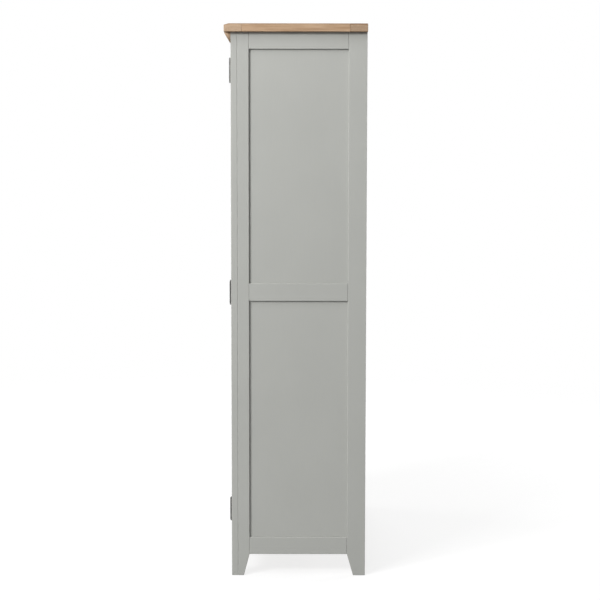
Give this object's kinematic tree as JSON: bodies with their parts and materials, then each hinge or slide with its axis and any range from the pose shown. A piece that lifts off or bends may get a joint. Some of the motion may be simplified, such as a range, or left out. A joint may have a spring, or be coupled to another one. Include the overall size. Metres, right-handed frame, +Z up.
{
  "type": "pantry cabinet",
  "caption": "Tall free-standing pantry cabinet: painted frame-and-panel body, framed oak top, inset panelled doors with racks, shelves on pegs inside.",
  "frame": {"origin": "on the floor, under the middle of the top board", "axes": "+Z up; the doors face -Y; +X is to the right of someone who faces the doors"},
  "size_m": [1.1, 0.486, 1.9],
  "materials": {
    "paint": "satin grey paint on timber and board",
    "oak": "lightly oiled oak",
    "pale_oak": "matt lacquered oak",
    "pewter": "satin pewter plating",
    "catch_plastic": "moulded"
  },
  "bodies": {
    "carcass": {"top_front_board": "oak", "top_rear_board": "oak", "top_side_boards": "oak", "top_centre_panel": "oak", "cornice_moulding": "oak", "right_front_leg": "paint", "right_rear_leg": "paint", "right_top_rail": "paint", "right_middle_rail": "paint", "right_bottom_rail": "paint", "right_upper_panel": "paint", "right_lower_panel": "paint", "left_front_leg": "paint", "left_rear_leg": "paint", "left_top_rail": "paint", "left_middle_rail": "paint", "left_bottom_rail": "paint", "left_upper_panel": "paint", "left_lower_panel": "paint", "face_stiles": "paint", "face_top_rail": "paint", "face_bottom_rail": "paint", "back_rails": "paint", "back_panel": "paint", "floor_board": "pale_oak", "floor_cleats": "pale_oak", "fixed_shelf": "pale_oak", "adjustable_shelves": "pale_oak", "shelf_strips": "pale_oak", "shelf_pegs": "pewter", "hinge_frame_leaves": "pewter", "hinge_pins": "pewter", "hinge_frame_screws": "pewter", "catch_magnets": "catch_plastic"},
    "right_door": {"right_door_hinge_stile": "paint", "right_door_meeting_stile": "paint", "right_door_top_rail": "paint", "right_door_middle_rail": "paint", "right_door_bottom_rail": "paint", "right_door_panels": "paint", "right_door_knob": "pewter", "right_rack_bases": "pale_oak", "right_rack_fronts": "pale_oak", "right_rack_ends": "pale_oak", "right_hinge_leaves": "pewter", "right_hinge_screws": "pewter", "right_catch_plate": "pewter"},
    "left_door": {"left_door_hinge_stile": "paint", "left_door_meeting_stile": "paint", "left_door_top_rail": "paint", "left_door_middle_rail": "paint", "left_door_bottom_rail": "paint", "left_door_panels": "paint", "left_door_knob": "pewter", "left_rack_bases": "pale_oak", "left_rack_fronts": "pale_oak", "left_rack_ends": "pale_oak", "left_hinge_leaves": "pewter", "left_hinge_screws": "pewter", "left_catch_plate": "pewter"}
  },
  "joints": [
    {"name": "right_door_hinge", "type": "hinge", "parent": "carcass", "child": "right_door", "pos_m": [0.4765, -0.225, 0.9855], "axis": [0, 0, 1], "range_deg": [0, 180]},
    {"name": "left_door_hinge", "type": "hinge", "parent": "carcass", "child": "left_door", "pos_m": [-0.4765, -0.225, 0.9855], "axis": [0, 0, -1], "range_deg": [0, 180]}
  ]
}
